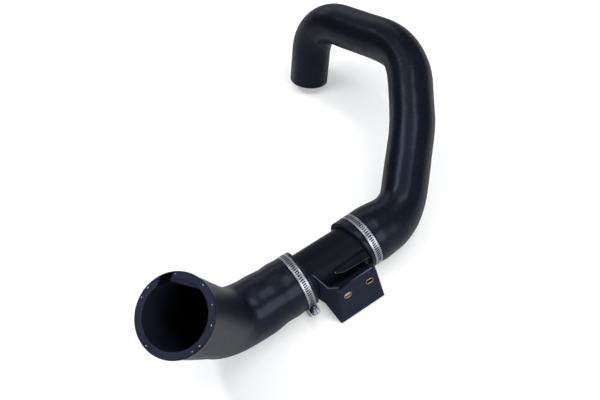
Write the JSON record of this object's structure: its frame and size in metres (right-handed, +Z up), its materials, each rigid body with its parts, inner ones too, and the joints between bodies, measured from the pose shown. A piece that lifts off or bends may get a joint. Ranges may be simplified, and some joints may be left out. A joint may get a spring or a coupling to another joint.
{
  "type": "charge air hose",
  "caption": "Bent rubber charge air hose assembly: a flared front hose and a long curved rear hose clamped to a short black pipe that carries a slotted mounting bracket.",
  "frame": {"origin": "on the surface that the part lies on, below the middle of its outline seen from above", "axes": "+X along the steel pipe, from the front hose to the rear hose; +Z up, off the surface that the part lies on; +Y away from the bracket"},
  "size_m": [0.4578, 0.3972, 0.1658],
  "materials": {
    "rubber": "satin",
    "black_paint": "satin",
    "stainless_steel": "brushed"
  },
  "bodies": {
    "root": {"front_hose": "rubber", "rear_hose": "rubber", "pipe": "black_paint", "bracket": "black_paint", "gusset": "black_paint", "front_clamp_band": "stainless_steel", "front_clamp_housing": "stainless_steel", "front_clamp_screw": "stainless_steel", "rear_clamp_band": "stainless_steel", "rear_clamp_housing": "stainless_steel", "rear_clamp_screw": "stainless_steel"}
  },
  "joints": []
}
